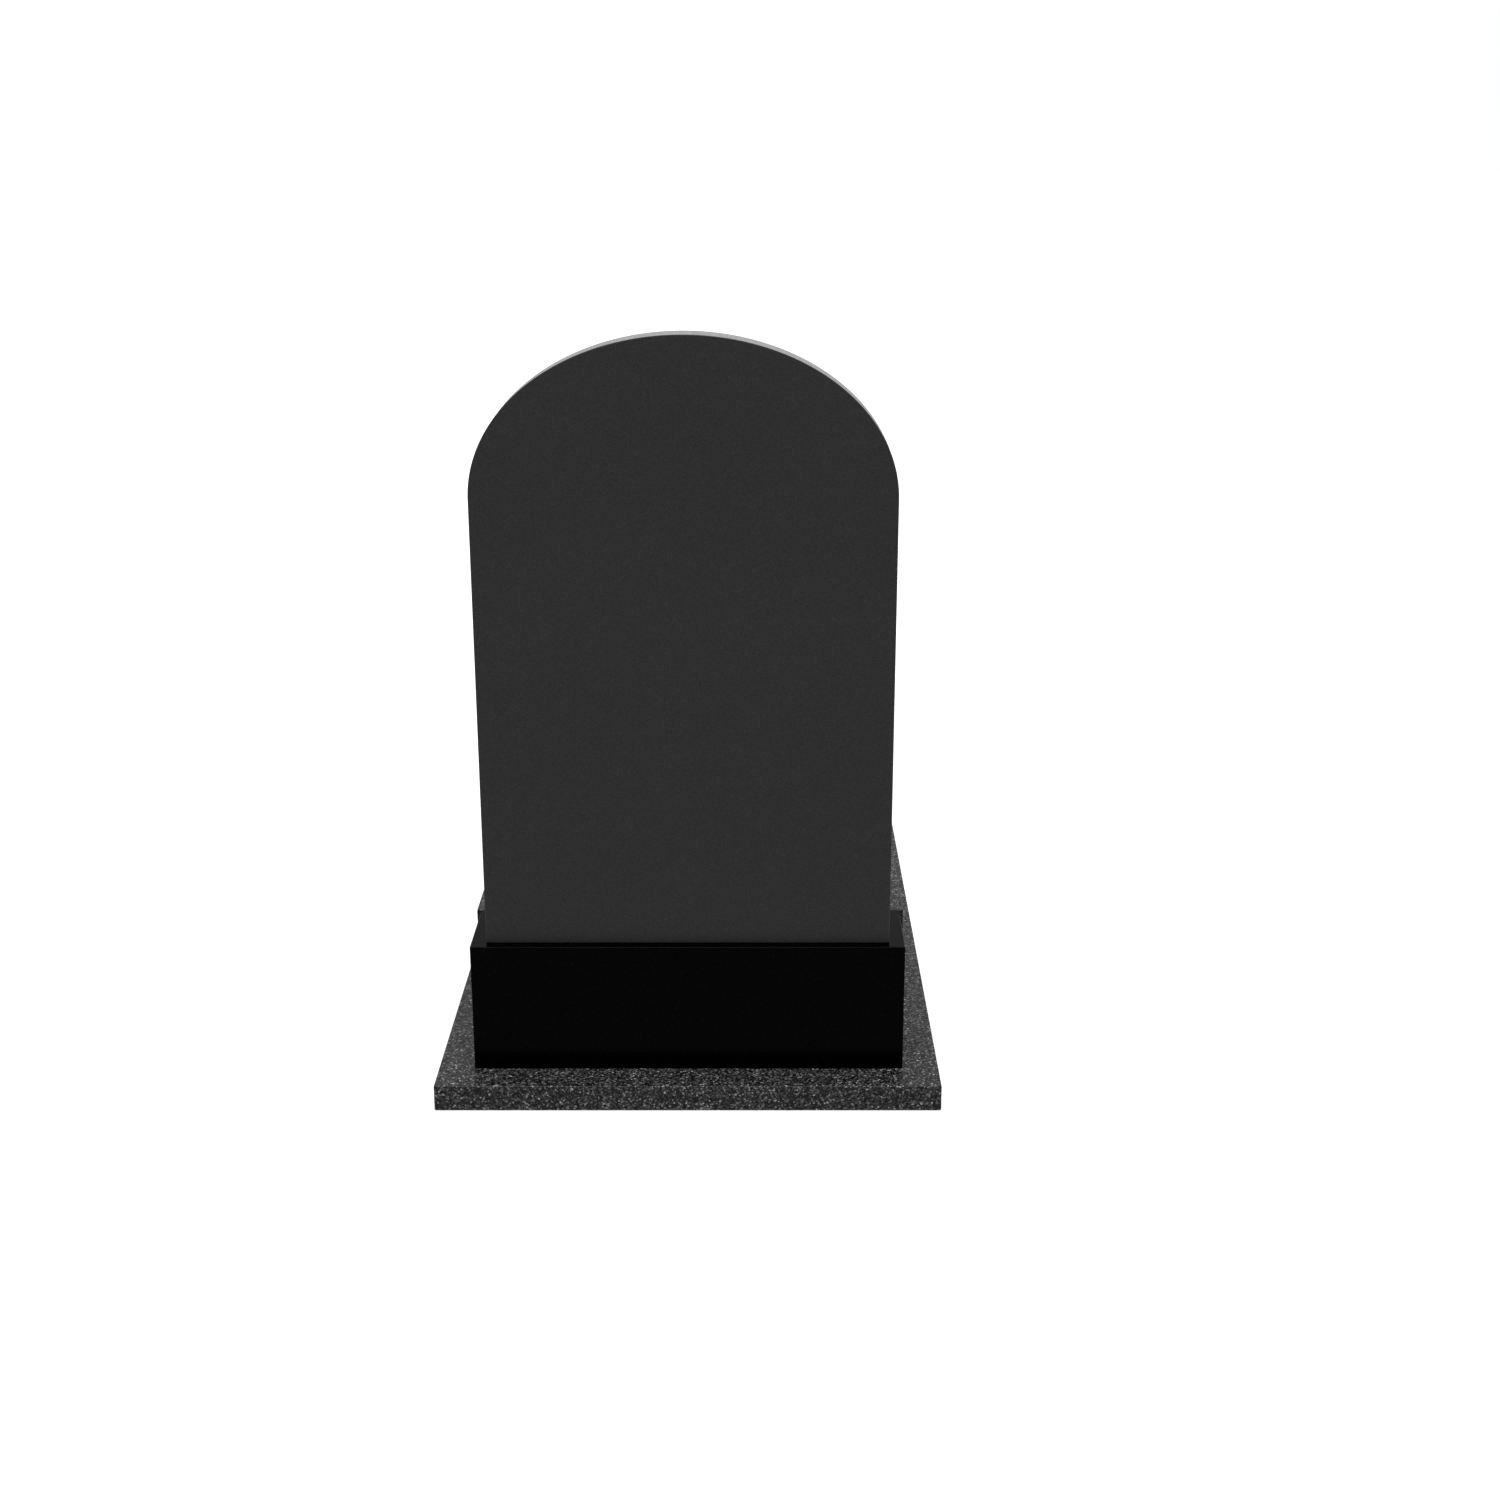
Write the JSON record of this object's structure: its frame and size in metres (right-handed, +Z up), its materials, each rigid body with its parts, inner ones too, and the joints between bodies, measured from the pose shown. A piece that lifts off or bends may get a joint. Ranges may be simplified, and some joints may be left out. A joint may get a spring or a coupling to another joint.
{
  "type": "headstone",
  "caption": "Arched grave headstone on a polished plinth, with a raised granite ledger behind it, all standing on a flat foundation slab.",
  "frame": {"origin": "middle of the foundation slab's underside, on the ground", "axes": "+Z up, +Y along the grave from its head end to its foot end, +X to the right seen from the head end"},
  "size_m": [0.76, 1.8, 1.1406],
  "materials": {
    "speckled_granite": "fine-sawn dark grey granite with light and black grains, matt",
    "black_granite": "polished black granite",
    "grey_granite": "fine-honed dark grey granite faces, with lighter sawn edges"
  },
  "bodies": {
    "root": {"foundation_slab": "speckled_granite", "ledger": "speckled_granite", "plinth": "black_granite", "tablet": "grey_granite"}
  },
  "joints": []
}
